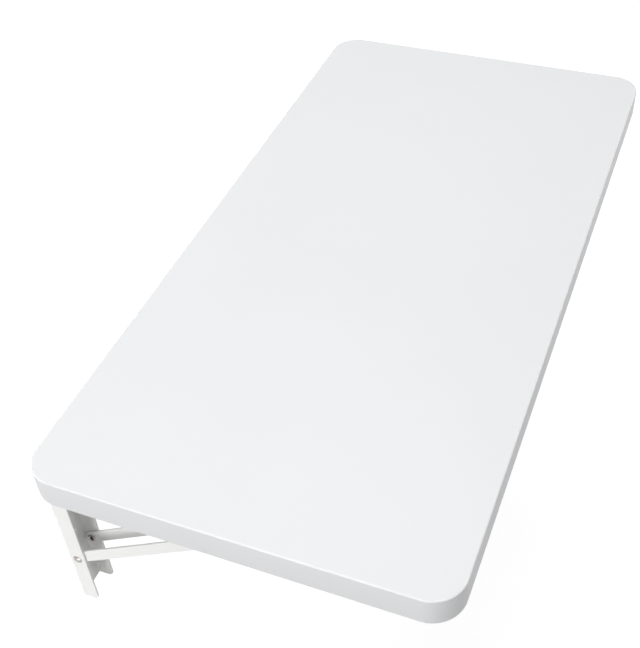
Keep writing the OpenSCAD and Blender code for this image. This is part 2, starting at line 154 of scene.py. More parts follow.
def powder_coat(name):
    material, tree, shader = mottled(name, COAT_CLOUDS, COAT_SHADES, COAT_BLOTCHES, COAT_ROUGH)
    bump(tree, shader, noise(tree, *COAT_PEEL), PEEL_DEPTH)
    return material


def settle(piece):
    """Turns a piece with live modifiers into a plain mesh."""
    graph = bpy.context.evaluated_depsgraph_get()
    mesh = bpy.data.meshes.new_from_object(piece.evaluated_get(graph))
    piece.modifiers.clear()
    piece.data = mesh
    return piece


def add_piece(name, mesh, material=None):
    piece = bpy.data.objects.new(name, mesh)
    bpy.context.scene.collection.objects.link(piece)
    if material is not None:
        mesh.materials.clear()
        mesh.materials.append(material)
    return piece


def mesh_of(name, solid):
    """The finished mesh of a solid made in mesh code, which is freed."""
    mesh = bpy.data.meshes.new(name)
    solid.to_mesh(mesh)
    solid.free()
    return mesh


def smooth(mesh):
    mesh.shade_smooth()
    mesh.set_sharp_from_angle(angle=SMOOTH_BELOW)


def sheet_copy(node, name, material, sliver=0.0):
    """A merged copy of a node, with its faces joined where they are flat.

    Its cut edges get a weight for the bevel, but not the feather edge where an arm's round end
    runs out under its web.
    """
    sheet = bmesh.new()
    sheet.from_mesh(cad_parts[node].data)
    bmesh.ops.remove_doubles(sheet, verts=sheet.verts, dist=MERGE_WITHIN)
    if sliver:
        bmesh.ops.dissolve_degenerate(sheet, dist=sliver, edges=sheet.edges)
    bmesh.ops.dissolve_limit(
        sheet, angle_limit=FLAT_BELOW, verts=sheet.verts, edges=sheet.edges
    )
    weight = sheet.edges.layers.float.new("bevel_weight_edge")
    for edge in sheet.edges:
        edge[weight] = float(EDGE_ABOVE < edge.calc_face_angle() < FEATHER_ABOVE)
    mesh = mesh_of(name, sheet)
    smooth(mesh)
    piece = add_piece(name, mesh, material)
    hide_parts(node)
    return piece


def pressed_steel(node, name, material):
    """A copy of a sheet steel node with its cut edges rounded off."""
    piece = sheet_copy(node, name, material)
    bevel = piece.modifiers.new("cut edges", "BEVEL")
    bevel.width = EDGE_WIDTH
    bevel.segments = EDGE_SEGMENTS
    bevel.limit_method = "WEIGHT"
    bevel.use_clamp_overlap = False
    bevel.harden_normals = True
    return settle(piece)


white_coat = powder_coat("white powder coat")
for side in SIDES:
    rail = pressed_steel(f"rail_{side}", f"wall_rail_{side}", white_coat)
    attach(rail, "wall_rails")


# Hinge pins: 5 mm steel pins through the rail's ears and the arm, with a round head at each end.
# They are nickel plated and tumbled, so they shine with a slightly warm, uneven grey.
BRACKET_X = 360 * MM
HINGE_FROM_WALL = 10.6 * MM
HINGE_Z = 96 * MM
RAIL_HALF = 16 * MM
PIN_R = 2.5 * MM
HEAD_R = 5 * MM
HEAD_H = 2.2 * MM
RIM_SHARE = 0.12
DOME_STEPS = 10
TURN_SIDES = 40
NICKEL_CLOUDS = (420, 5, 0.6)
NICKEL_SHADES = ((0.3, (0.38, 0.35, 0.33)), (0.62, (0.47, 0.435, 0.41)))
NICKEL_BLOTCHES = (900, 4)
NICKEL_ROUGH = (0.14, 0.26)
NICKEL_DIMPLES = (2600, 2)
DIMPLE_DEPTH = 0.01 * MM
# Painted shade round the heads' rims: its colour, its reach, and its amount in a corner and in the
# open.
CORNER_PAINTED_SHADE = (0.12, 0.10, 0.09)
CORNER_SHADE_REACH = 1.6 * MM
SHADE_IN_CORNER = 1.6
SHADE_IN_OPEN = -0.15


def lay_over(tree, shader, colour, amount):
    """Lays a colour over the one that the shader has, by an amount from 0 to 1."""
    base = shader.inputs["Base Color"]
    mix = tree.nodes.new("ShaderNodeMix")
    mix.data_type = "RGBA"
    factor, under, over, result = mix.inputs[0], mix.inputs[6], mix.inputs[7], mix.outputs[2]
    over.default_value = (*colour, 1)
    tree.links.new(amount, factor)
    tree.links.new(base.links[0].from_socket, under)
    tree.links.new(result, base)


def nickel(name):
    """Bright plate with faint blotches, and painted corner shade where a head meets the sheet."""
    material, tree, shader = mottled(
        name, NICKEL_CLOUDS, NICKEL_SHADES, NICKEL_BLOTCHES, NICKEL_ROUGH
    )
    shader.inputs["Metallic"].default_value = 1.0
    # Painted shade: the colour darkens towards near black where ambient occlusion finds a corner,
    # round each head.
    corner = tree.nodes.new("ShaderNodeAmbientOcclusion")
    corner.inputs["Distance"].default_value = CORNER_SHADE_REACH
    corner_shade = range_of(tree, corner.outputs["AO"], SHADE_IN_CORNER, SHADE_IN_OPEN)
    lay_over(tree, shader, CORNER_PAINTED_SHADE, corner_shade)
    bump(tree, shader, noise(tree, *NICKEL_DIMPLES), DIMPLE_DEPTH)
    return material


def turned_ring(solid, radius, height):
    """Corners of a ring about Z, or the one corner of a ring that has no radius."""
    if radius == 0:
        return [solid.verts.new((0, 0, height))]
    angles = [2 * math.pi * k / TURN_SIDES for k in range(TURN_SIDES)]
    return [solid.verts.new((radius * math.cos(a), radius * math.sin(a), height)) for a in angles]


def lathe(name, profile, material, holed=False):
    """A round solid about Z, from (radius, height) pairs that start and end on the axis.

    A holed one has pairs that go right round its section instead.
    """
    solid = bmesh.new()
    rings = [turned_ring(solid, radius, height) for radius, height in profile]
    bands = list(zip(rings, rings[1:]))
    if holed:
        bands.append((rings[-1], rings[0]))
    for lower, upper in bands:
        for k in range(TURN_SIDES):
            corners = [lower[k % len(lower)], lower[(k + 1) % len(lower)]]
            corners += [upper[(k + 1) % len(upper)], upper[k % len(upper)]]
            solid.faces.new(list(dict.fromkeys(corners)))
    bmesh.ops.recalc_face_normals(solid, faces=solid.faces)
    mesh = mesh_of(name, solid)
    smooth(mesh)
    return add_piece(name, mesh, material)


def dome(radius, height, base):
    """Profile of a domed head on the plane z = base, from its rim to its pole."""
    ball = (radius * radius + height * height) / (2 * height)
    half_angle = math.asin(radius / ball)
    points = [(radius, base), (radius, base + RIM_SHARE * height)]
    for step in range(1, DOME_STEPS + 1):
        angle = half_angle * (1 - step / DOME_STEPS)
        drop = ball - ball * math.cos(angle)
        points.append((ball * math.sin(angle), base + height - drop * (1 - RIM_SHARE)))
    return points


def both_heads(radius, height, half, shank):
    """Profile of a pin with a domed head at each end, half its grip either way."""
    head = dome(radius, height, half)
    lower = [(r, -z) for r, z in reversed(head)]
    return lower + [(shank, -half), (shank, half)] + head


def place_of(side, out, up):
    """A place in the middle of a bracket, out from the wall and above the origin."""
    x = -BRACKET_X if side == "left" else BRACKET_X
    return (x, -out, up)


def across(piece, side, out, up):
    """Lays a piece made along Z across a bracket at such a place."""
    turn = Matrix.Rotation(math.radians(90), 4, "Y")
    piece.data.transform(Matrix.Translation(place_of(side, out, up)) @ turn)


nickel_plate = nickel("nickel plate")
for side in SIDES:
    profile = both_heads(HEAD_R, HEAD_H, RAIL_HALF, PIN_R)
    pin = lathe(f"hinge_pin_{side}_nickel", profile, nickel_plate)
    across(pin, side, HINGE_FROM_WALL, HINGE_Z)
    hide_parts(f"hinge_pin_{side}")
    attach(pin, "wall_rails")


# Washers: natural nylon rings that fill the space between the arm and the rail's ears.
# They come in pairs, one each side of the arm, and are moulded with a small round on the rim.
ARM_HALF = 10.6 * MM
RAIL_IN = 14 * MM
HOLE_R = 2.55 * MM
WASHER_GAP = 0.1 * MM
WASHER_R = 5.5 * MM
WASHER_THICK = RAIL_IN - ARM_HALF - 2 * WASHER_GAP
WASHER_ROUND = 0.3 * MM
ROUND_STEPS = 4
NYLON_CLOUDS = (300, 3)
NYLON_SHADES = ((0.3, (0.74, 0.73, 0.67)), (0.7, (0.80, 0.79, 0.73)))
NYLON_BLOTCHES = (700, 3)
NYLON_ROUGH = (0.4, 0.55)
NYLON_GLOW = 0.1
NYLON_GLOW_REACH = 1 * MM


def nylon(name):
    material, _, shader = mottled(
        name, NYLON_CLOUDS, NYLON_SHADES, NYLON_BLOTCHES, NYLON_ROUGH
    )
    shader.inputs["Subsurface Weight"].default_value = NYLON_GLOW
    shader.inputs["Subsurface Scale"].default_value = NYLON_GLOW_REACH
    return material


def washer_profile():
    """Section of a washer with rounded outer edges, as (radius, height) pairs right round."""
    points = [(HOLE_R, 0)]
    for start, middle in ((-90, WASHER_ROUND), (0, WASHER_THICK - WASHER_ROUND)):
        for step in range(ROUND_STEPS + 1):
            angle = math.radians(start + 90 * step / ROUND_STEPS)
            points.append((
                WASHER_R - WASHER_ROUND + WASHER_ROUND * math.cos(angle),
                middle + WASHER_ROUND * math.sin(angle),
            ))
    return points + [(HOLE_R, WASHER_THICK)]


def math_node(tree, operation, *values, clamp=False):
    """One step of arithmetic on numbers and sockets."""
    node = tree.nodes.new("ShaderNodeMath")
    node.operation = operation
    node.use_clamp = clamp
    for socket, value in zip(node.inputs, values):
        if isinstance(value, float):
            socket.default_value = value
        else:
            tree.links.new(value, socket)
    return node.outputs[0]


def geometry_tree(name, sizes):
    """A Geometry Nodes tree with a geometry input and named sizes, and its two end nodes."""
    tree = bpy.data.node_groups.new(name, "GeometryNodeTree")
    tree.interface.new_socket("Geometry", in_out="INPUT", socket_type="NodeSocketGeometry")
    for label, kind in sizes:
        tree.interface.new_socket(label, in_out="INPUT", socket_type=f"NodeSocket{kind}")
    tree.interface.new_socket("Geometry", in_out="OUTPUT", socket_type="NodeSocketGeometry")
    return tree, tree.nodes.new("NodeGroupInput"), tree.nodes.new("NodeGroupOutput")


def finish_tree(tree, result, source, output):
    """Real geometry with its material, as the last steps of a tree."""
    real = tree.nodes.new("GeometryNodeRealizeInstances")
    paint = tree.nodes.new("GeometryNodeSetMaterial")
    tree.links.new(result, real.inputs["Geometry"])
    tree.links.new(real.outputs["Geometry"], paint.inputs["Geometry"])
    tree.links.new(source.outputs["Material"], paint.inputs["Material"])
    tree.links.new(paint.outputs["Geometry"], output.inputs["Geometry"])


def grow(piece, tree, sizes):
    """Runs a tree on a piece with its sizes and leaves a plain mesh."""
    modifier = piece.modifiers.new(tree.name, "NODES")
    modifier.node_group = tree
    for item in tree.interface.items_tree:
        if item.in_out == "INPUT" and item.name in sizes:
            modifier[item.identifier] = sizes[item.name]
    settle(piece)


def pair_tree():
    """Puts the piece at both ends of an axis along X, each facing away from the middle."""
    tree, source, output = geometry_tree("pair on an axis", [
        ("Middle", "Vector"), ("Half Width", "Float"), ("Material", "Material"),
    ])
    link = tree.links.new
    joined = tree.nodes.new("GeometryNodeJoinGeometry")
    for sign in (1.0, -1.0):
        offset = tree.nodes.new("ShaderNodeCombineXYZ")
        end = tree.nodes.new("ShaderNodeVectorMath")
        point = tree.nodes.new("GeometryNodePoints")
        copy = tree.nodes.new("GeometryNodeInstanceOnPoints")
        copy.inputs["Rotation"].default_value = (0, sign * math.radians(90), 0)
        link(math_node(tree, "MULTIPLY", source.outputs["Half Width"], sign), offset.inputs["X"])
        link(source.outputs["Middle"], end.inputs[0])
        link(offset.outputs[0], end.inputs[1])
        link(end.outputs["Vector"], point.inputs["Position"])
        link(point.outputs["Points"], copy.inputs["Points"])
        link(source.outputs["Geometry"], copy.inputs["Instance"])
        link(copy.outputs["Instances"], joined.inputs["Geometry"])
    finish_tree(tree, joined.outputs["Geometry"], source, output)
    return tree


pair_on_axis = pair_tree()
natural_nylon = nylon("natural nylon")


def set_pair(piece, side, out, up, half, material):
    """Sets a piece at both ends of an axis across a bracket, half its width from the middle."""
    grow(piece, pair_on_axis, {
        "Middle": place_of(side, out, up),
        "Half Width": half,
        "Material": material,
    })


for side in SIDES:
    washers = lathe(f"hinge_washers_{side}_nylon", washer_profile(), natural_nylon, holed=True)
    set_pair(washers, side, HINGE_FROM_WALL, HINGE_Z, ARM_HALF + WASHER_GAP, natural_nylon)
    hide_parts(f"hinge_washers_{side}")
    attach(washers, "wall_rails")


# Strut foot rivets: semi-tubular rivets, one in each flange of a rail, that the struts swing on.
# Each has a domed head outside and a hollow shank, rolled over inside against the strut bar. The
# hollow is painted black, as painted shade.
FOOT_FROM_WALL = 10 * MM
FOOT_Z = -22 * MM
BAR_IN = 11.6 * MM
ROLLED_R = 4 * MM
ROLLED_H = 1.4 * MM
ROLL_STEPS = 8
MOUTH_R = 3 * MM
HOLLOW_R = 1.9 * MM
HOLLOW_DEPTH = 4 * MM
FLARE = 1.2 * MM
HOLLOW_PAINTED_SHADE = (0.012, 0.012, 0.012)


def object_axes(tree):
    """The object's own X, Y and Z."""
    axes = tree.nodes.new("ShaderNodeSeparateXYZ")
    tree.links.new(object_place(tree), axes.inputs[0])
    return axes.outputs


def off_from(tree, value, middle):
    """How far a value is from a middle one, either way."""
    return math_node(tree, "ABSOLUTE", math_node(tree, "SUBTRACT", value, middle))


def nickel_with_painted_hollow(name):
    """Nickel plate with black painted shade inside the hollows of the strut foot rivets."""
    material = nickel(name)
    tree = material.node_tree
    x, y, z = object_axes(tree)
    out = math_node(tree, "ADD", y, FOOT_FROM_WALL)
    up = math_node(tree, "SUBTRACT", z, FOOT_Z)
    squares = [math_node(tree, "POWER", value, 2.0) for value in (out, up)]
    off_axis = math_node(tree, "SQRT", math_node(tree, "ADD", *squares))
    # Painted shade: black is laid over the nickel inside the rivets' hollows, within a bracket's
    # width.
    hollow_shade = range_of(tree, off_axis, 1.0, 0.0, start=HOLLOW_R, end=MOUTH_R)
    off_bracket = off_from(tree, math_node(tree, "ABSOLUTE", x), BRACKET_X)
    within = math_node(tree, "LESS_THAN", off_bracket, RAIL_HALF)
    amount = math_node(tree, "MULTIPLY", hollow_shade, within)
    lay_over(tree, tree.nodes["Principled BSDF"], HOLLOW_PAINTED_SHADE, amount)
    return material


def tubular_rivet():
    """Profile of a rivet from the floor of its hollow round the rolled end to its head."""
    grip = RAIL_HALF - BAR_IN + WASHER_GAP
    end = -(grip + ROLLED_H)
    lip = (ROLLED_R - MOUTH_R) / 2
    points = [(0, end + HOLLOW_DEPTH), (HOLLOW_R, end + HOLLOW_DEPTH), (HOLLOW_R, end + FLARE)]
    for step in range(1, ROLL_STEPS):
        angle = math.pi * (1 - step / ROLL_STEPS)
        points.append((MOUTH_R + lip + lip * math.cos(angle), end + lip - lip * math.sin(angle)))
    points += [(ROLLED_R, end + lip), (ROLLED_R, -grip), (PIN_R, -grip), (PIN_R, 0)]
    return points + dome(HEAD_R, HEAD_H, 0)


hollow_nickel = nickel_with_painted_hollow("nickel plate, painted shade inside")
for side in SIDES:
    rivets = lathe(f"strut_foot_rivets_{side}_nickel", tubular_rivet(), hollow_nickel)
    set_pair(rivets, side, FOOT_FROM_WALL, FOOT_Z, RAIL_HALF, hollow_nickel)
    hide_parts(f"strut_foot_rivets_{side}")
    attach(rivets, "wall_rails")


# Struts: two flat bars to a bracket, blanked from 2 mm strip with round ends and coated like the
# rails. They swing between the rail's flanges at the foot and pass outside the arm at the top.
for side in SIDES:
    for place in ("outer", "inner"):
        node = f"strut_{place}_bar_{side}"
        bar = pressed_steel(node, f"strut_bar_{place}_{side}", white_coat)
        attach(bar, f"strut_{side}")


# Sliding pin: its riveted ends sit on the outside of the bars, and its shank runs in the arm's
# slots. The shank is bright from rubbing, the heads are nickel like the other rivets.
LOCK_OUT = 198.6 * MM
SLOT_Z = 98 * MM
BAR_OUT = 13.6 * MM
ARM_IN = 8.6 * MM
STUD_LEN = 2.7 * MM
STUD_ROUND = 0.25 * MM

for side in SIDES:
    bar_hole = BAR_OUT - BAR_IN
    profile = [(0, -bar_hole), (PIN_R, -bar_hole), (PIN_R, 0)] + dome(HEAD_R, HEAD_H, 0)
    heads = lathe(f"strut_head_rivets_{side}_nickel", profile, nickel_plate)
    set_pair(heads, side, LOCK_OUT, SLOT_Z, BAR_OUT, nickel_plate)
    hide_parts(f"strut_head_rivets_{side}")
    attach(heads, f"strut_{side}")

    end_r = PIN_R - STUD_ROUND
    profile = [(0, 0), (end_r, 0), (PIN_R, STUD_ROUND)]
    profile += [(PIN_R, STUD_LEN - STUD_ROUND), (end_r, STUD_LEN), (0, STUD_LEN)]
    studs = lathe(f"slide_studs_{side}_steel", profile, nickel_plate)
    set_pair(studs, side, LOCK_OUT, SLOT_Z, ARM_IN, nickel_plate)
    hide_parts(f"slide_studs_{side}")
    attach(studs, f"slide_pin_{side}")


# Arms: channels bent from 2 mm sheet, with a slot in both flanges for the sliding pin, a slit that
# clears the foot rivets, and rounded lower corners. The pin has rubbed the coat along the slots.
SLOT_FROM = 198.4 * MM
SLOT_TO = 352.3 * MM
SLOT_HALF = 2.6 * MM
RUB_WIDTH = 1.3 * MM
RUB_NOISE = (260, 5, 0.65)
RUB_STREAKS = ((0.40, 0.0), (0.75, 0.45))
RUBBED = (0.74, 0.74, 0.72)


def rubbed_coat(name):
    """Powder coat with faint rub marks in a band along the slots' edges."""
    material = powder_coat(name)
    tree = material.node_tree
    _, y, z = object_axes(tree)
    beyond = math_node(tree, "SUBTRACT", off_from(tree, z, SLOT_Z), SLOT_HALF)
    faded = math_node(tree, "DIVIDE", beyond, RUB_WIDTH)
    near = math_node(tree, "SUBTRACT", 1.0, faded, clamp=True)
    off_middle = off_from(tree, y, -(SLOT_FROM + SLOT_TO) / 2)
    beside = math_node(tree, "LESS_THAN", off_middle, (SLOT_TO - SLOT_FROM) / 2)
    worn = math_node(tree, "MULTIPLY", near, beside)
    streaks = ramp(tree, noise(tree, *RUB_NOISE), RUB_STREAKS)
    amount = math_node(tree, "MULTIPLY", worn, streaks)
    lay_over(tree, tree.nodes["Principled BSDF"], RUBBED, amount)
    return material


arm_coat = rubbed_coat("white powder coat, rubbed at the slots")
for side in SIDES:
    arm = pressed_steel(f"arm_{side}", f"table_arm_{side}", arm_coat)
    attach(arm, "table_top")


# Arm screws: four zinc plated wood screws to an arm, up through its web into the board.
# Only their pan heads with a cross recess show, inside the channel.
UNDER_Z = 105.6 * MM
WEB_T = 2 * MM
SCREW_COUNT = 4
FIRST_SCREW_OUT = HINGE_FROM_WALL + 36 * MM
LAST_SCREW_OUT = HINGE_FROM_WALL + 345.52 * MM
SCREW_R = 1.75 * MM
SCREW_LEN = 16 * MM
SCREW_HEAD_R = 3.5 * MM
SCREW_HEAD_H = 2.2 * MM
POINT_LEN = 3 * MM
POINT_BLUNT = 0.2 * MM
POINT_SHARE = 0.2
RECESS_LEN = 3.6 * MM
RECESS_W = 0.9 * MM
RECESS_DEPTH = 1.2 * MM
ZINC_CLOUDS = (500, 4)
ZINC_SHADES = ((0.3, (0.52, 0.54, 0.57)), (0.7, (0.70, 0.71, 0.72)))
ZINC_BLOTCHES = (1200, 3)
ZINC_ROUGH = (0.24, 0.42)


def zinc(name):
    material, _, shader = mottled(name, ZINC_CLOUDS, ZINC_SHADES, ZINC_BLOTCHES, ZINC_ROUGH)
    shader.inputs["Metallic"].default_value = 1.0
    return material


def row_tree():
    """Repeats the piece: count copies from a first place, with a step between them."""
    tree, source, output = geometry_tree("row of screws", [
        ("Count", "Int"), ("First", "Vector"), ("Step", "Vector"), ("Material", "Material"),
    ])
    line = tree.nodes.new("GeometryNodeMeshLine")
    line.mode = "OFFSET"
    copies = tree.nodes.new("GeometryNodeInstanceOnPoints")
    for label, socket in (("Count", "Count"), ("First", "Start Location"), ("Step", "Offset")):
        tree.links.new(source.outputs[label], line.inputs[socket])
    tree.links.new(line.outputs["Mesh"], copies.inputs["Points"])
    tree.links.new(source.outputs["Geometry"], copies.inputs["Instance"])
    finish_tree(tree, copies.outputs["Instances"], source, output)
    return tree


def cross_cutter(material):
    """Two crossed bars that cut the recess into a screw's head."""
    cross = bmesh.new()
    size = Matrix.Diagonal((RECESS_LEN, RECESS_W, 2 * RECESS_DEPTH, 1))
    sink = Matrix.Translation((0, 0, -SCREW_HEAD_H))
    for turn in (0, 90):
        corners = bmesh.ops.create_cube(cross, size=1.0)["verts"]
        spin = Matrix.Rotation(math.radians(turn), 4, "Z")
        bmesh.ops.transform(cross, matrix=sink @ spin @ size, verts=corners)
    return add_piece("cross_cutter", mesh_of("cross", cross), material)


def pan_head_screw(name, material):
    """One screw, point up, with its head under z = 0 and a cross cut into the head."""
    profile = [(0, SCREW_LEN), (SCREW_R * POINT_SHARE, SCREW_LEN - POINT_BLUNT)]
    profile += [(SCREW_R, SCREW_LEN - POINT_LEN), (SCREW_R, 0)]
    profile += [(r, -z) for r, z in dome(SCREW_HEAD_R, SCREW_HEAD_H, 0)]
    screw = lathe(name, profile, material)
    cutter = cross_cutter(material)
    recess = screw.modifiers.new("cross recess", "BOOLEAN")
    recess.object = cutter
    recess.use_self = True
    settle(screw)
    bpy.data.objects.remove(cutter)
    clean = bmesh.new()
    clean.from_mesh(screw.data)
    bmesh.ops.remove_doubles(clean, verts=clean.verts, dist=MERGE_WITHIN)
    clean.to_mesh(screw.data)
    clean.free()
    smooth(screw.data)
    return screw


screw_row = row_tree()
zinc_plate = zinc("zinc plate")
for side in SIDES:
    screws = pan_head_screw(f"arm_screws_{side}_zinc", zinc_plate)
    step = (LAST_SCREW_OUT - FIRST_SCREW_OUT) / (SCREW_COUNT - 1)
    grow(screws, screw_row, {
        "Count": SCREW_COUNT,
        "First": place_of(side, FIRST_SCREW_OUT, UNDER_Z - WEB_T),
        "Step": (0.0, -step, 0.0),
        "Material": zinc_plate,
    })
    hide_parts(f"arm_screws_{side}")
    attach(screws, "table_top")


# Release levers: small pressed channels that turn on a low-headed pin inside the arm. The nose
# blocks the sliding pin, and the sloping tab with its rolled tip is pressed up by a finger.
LEVER_OUT = 219.6 * MM
LEVER_Z = 91.1 * MM
LEVER_PIN_R = 2 * MM
LOW_HEAD_R = 3 * MM
LOW_HEAD_H = 0.6 * MM
SLIVER = 0.03 * MM

for side in SIDES:
    lever = sheet_copy(f"release_lever_{side}", f"latch_lever_{side}", white_coat, SLIVER)
    even = lever.modifiers.new("even shading", "WEIGHTED_NORMAL")
    even.keep_sharp = True
    settle(lever)
    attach(lever, f"lever_{side}")

    profile = both_heads(LOW_HEAD_R, LOW_HEAD_H, ARM_HALF, LEVER_PIN_R)
    pin = lathe(f"lever_pin_{side}_nickel", profile, nickel_plate)
    across(pin, side, LEVER_OUT, LEVER_Z)
    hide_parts(f"lever_pin_{side}")
    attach(pin, "table_top")


# Lever springs: torsion springs wound from 1 mm steel wire round the lever's pin. One leg bears on
# the arm's web. The other lies on the tab and turns with it, so that the nose is pushed up again.
WIRE_R = 0.5 * MM
WIRE_STEPS = 24
WIRE_SIDES = 10
COIL_R = 3.3 * MM
CURLS = 5
PITCH = 1.6 * MM
TAB_SLOPE = 18
LEG_ANGLE = 60
LEG_UP = 11.9 * MM
LEG_DOWN = 15 * MM
SPRING_CLOUDS = (800, 4)
SPRING_SHADES = ((0.35, (0.22, 0.22, 0.23)), (0.65, (0.40, 0.39, 0.38)))
SPRING_BLOTCHES = (1500, 3)
SPRING_ROUGH = (0.28, 0.45)


def spring_steel(name):
    material, _, shader = mottled(
        name, SPRING_CLOUDS, SPRING_SHADES, SPRING_BLOTCHES, SPRING_ROUGH
    )
    shader.inputs["Metallic"].default_value = 1.0
    return material


def wire_tree():
    """Gives a path of edges the round section of a wire."""
    tree, source, output = geometry_tree("round wire", [
        ("Wire Radius", "Float"), ("Sides", "Int"), ("Material", "Material"),
    ])
    link = tree.links.new
    path = tree.nodes.new("GeometryNodeMeshToCurve")
    section = tree.nodes.new("GeometryNodeCurvePrimitiveCircle")
    tube = tree.nodes.new("GeometryNodeCurveToMesh")
    tube.inputs["Fill Caps"].default_value = True
    soft = tree.nodes.new("GeometryNodeSetShadeSmooth")
    link(source.outputs["Geometry"], path.inputs["Mesh"])
    link(source.outputs["Sides"], section.inputs["Resolution"])
    link(source.outputs["Wire Radius"], section.inputs["Radius"])
    link(path.outputs["Curve"], tube.inputs["Curve"])
    link(section.outputs["Curve"], tube.inputs["Profile Curve"])
    link(tube.outputs["Mesh"], soft.inputs["Geometry"])
    finish_tree(tree, soft.outputs["Geometry"], source, output)
    return tree


def spring_path():
    """Points of the wire about the lever's pivot: x across, then out from the wall, then up."""
    start = math.radians(LEG_ANGLE + 90)
    end = math.radians(360 * CURLS - 90 - TAB_SLOPE)
    turns = (end - start) / (2 * math.pi)
    width = turns * PITCH
    steps = round(turns * WIRE_STEPS)
    points = []
    for step in range(steps + 1):
        angle = start + (end - start) * step / steps
        x = -width / 2 + width * step / steps
        points.append(Vector((x, COIL_R * math.cos(angle), COIL_R * math.sin(angle))))
    leg_up = points[0] - LEG_UP * Vector((0, -math.sin(start), math.cos(start)))
    leg_down = points[-1] + LEG_DOWN * Vector((0, -math.sin(end), math.cos(end)))
    return [leg_up, *points, leg_down]


def path_piece(name, points):
    """A piece that is only a path of edges, for a tree to make solid."""
    mesh = bpy.data.meshes.new(name)
    mesh.from_pydata(points, [(i, i + 1) for i in range(len(points) - 1)], [])
    return add_piece(name, mesh)


round_wire = wire_tree()
oiled_wire = spring_steel("oiled spring steel")
for side in SIDES:
    mirror = 1 if side == "left" else -1
    middle = Vector(place_of(side, LEVER_OUT, LEVER_Z))
    points = [middle + Vector((mirror * p.x, -p.y, p.z)) for p in spring_path()]
    spring = path_piece(f"lever_spring_{side}_wire", points)
    grow(spring, round_wire, {"Wire Radius": WIRE_R, "Sides": WIRE_SIDES, "Material": oiled_wire})
    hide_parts(f"lever_spring_{side}")
    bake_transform(spring)


# Table top: a 32 mm board wrapped in matt white foil over its top, sides and round corners. The
# foil is folded under and ends 12 mm in, where a plain white backing sheet begins.
TOP_LEN = 800 * MM
TOP_DEPTH = 400 * MM
TOP_THICK = 32 * MM
TOP_CORNER_R = 31 * MM
CORNER_STEPS = 24
TOP_EDGE_R = 1.5 * MM
EDGE_STEPS = 6
TOP_WALL_GAP = 2 * MM
SEAM_IN = 12 * MM
SEAM_W = 0.5 * MM
SEAM_DEPTH = 0.25 * MM
WELD = 0.2 * MM
FOIL_CLOUDS = (5, 3)
FOIL_SHADES = ((0.35, (0.760, 0.766, 0.775)), (0.65, (0.772, 0.778, 0.786)))
FOIL_BLOTCHES = (30, 4)
FOIL_ROUGH = (0.46, 0.54)
FOIL_RIPPLE = (9, 2)
RIPPLE_DEPTH = 0.06 * MM
FOIL_GRAIN = (1500, 2)
GRAIN_DEPTH = 0.01 * MM
# Painted highlight on the round top edge: its colour, and how much of it by the normal's upward
# tilt.
FOIL_PAINTED_HIGHLIGHT = (0.815, 0.82, 0.825)
HIGHLIGHT_BY_TILT = ((0.1, 0.0), (0.35, 1.0), (0.9, 1.0), (0.99, 0.0))
BACKING_CLOUDS = (240, 5, 0.7)
BACKING_SHADES = ((0.3, 0.80), (0.7, 0.84))
BACKING_BLOTCHES = (80, 3)
BACKING_ROUGH = (0.5, 0.62)
BACKING_GRAIN = (700, 3)
BACKING_DEPTH = 0.02 * MM


def foil(name):
    """Matt foil with a very fine grain and faint clouds, and a painted highlight on the top edge.
    """
    material, tree, shader = mottled(name, FOIL_CLOUDS, FOIL_SHADES, FOIL_BLOTCHES, FOIL_ROUGH)
    facing = tree.nodes.new("ShaderNodeSeparateXYZ")
    tree.links.new(tree.nodes.new("ShaderNodeTexCoord").outputs["Normal"], facing.inputs[0])
    # Painted highlight: the foil is paler where its normal tilts between side and top, on the round
    # top edge.
    painted_highlight = ramp(tree, facing.outputs["Z"], HIGHLIGHT_BY_TILT)
    lay_over(tree, shader, FOIL_PAINTED_HIGHLIGHT, painted_highlight)
    ripple = bump(tree, shader, noise(tree, *FOIL_RIPPLE), RIPPLE_DEPTH)
    bump(tree, shader, noise(tree, *FOIL_GRAIN), GRAIN_DEPTH, before=ripple)
    return material


def backing(name):
    material, tree, shader = mottled(
        name, BACKING_CLOUDS, BACKING_SHADES, BACKING_BLOTCHES, BACKING_ROUGH
    )
    bump(tree, shader, noise(tree, *BACKING_GRAIN), BACKING_DEPTH)
    return material


